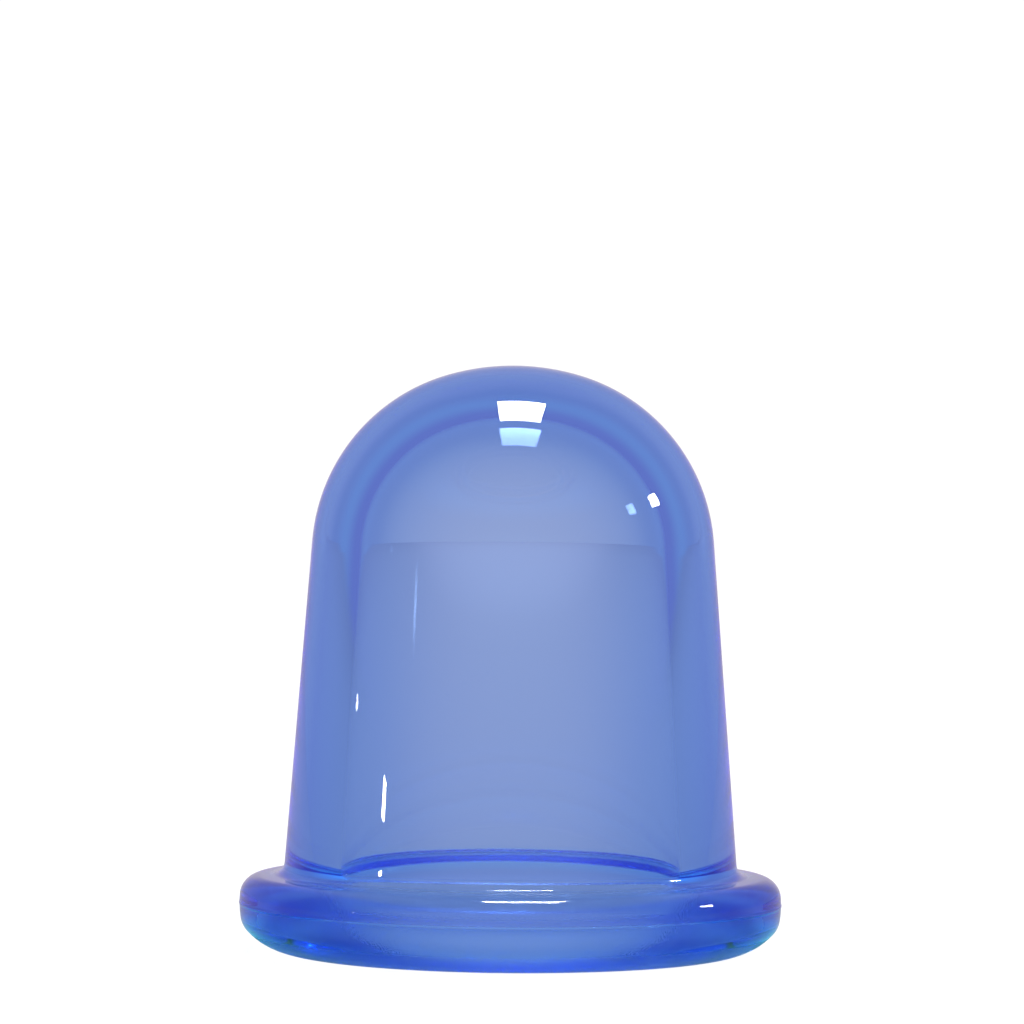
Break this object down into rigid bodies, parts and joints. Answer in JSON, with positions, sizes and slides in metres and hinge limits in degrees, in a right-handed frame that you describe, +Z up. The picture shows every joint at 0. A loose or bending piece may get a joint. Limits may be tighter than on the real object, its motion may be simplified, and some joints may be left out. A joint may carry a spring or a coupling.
{
  "type": "cupping cup",
  "caption": "Thick-walled clear blue silicone cupping cup: domed, slightly tapered body with a flared open mouth and a rounded rim that seals on the skin.",
  "frame": {"origin": "centre of the flat land under the rim, on the cup's axis", "axes": "+Z up the cup's axis from the open mouth to the crown; X and Y are interchangeable, as the cup is round"},
  "size_m": [0.06, 0.06, 0.0648],
  "materials": {
    "silicone": "clear gloss outside, satin inside the cavity"
  },
  "bodies": {
    "root": {"cup": "silicone"}
  },
  "joints": []
}
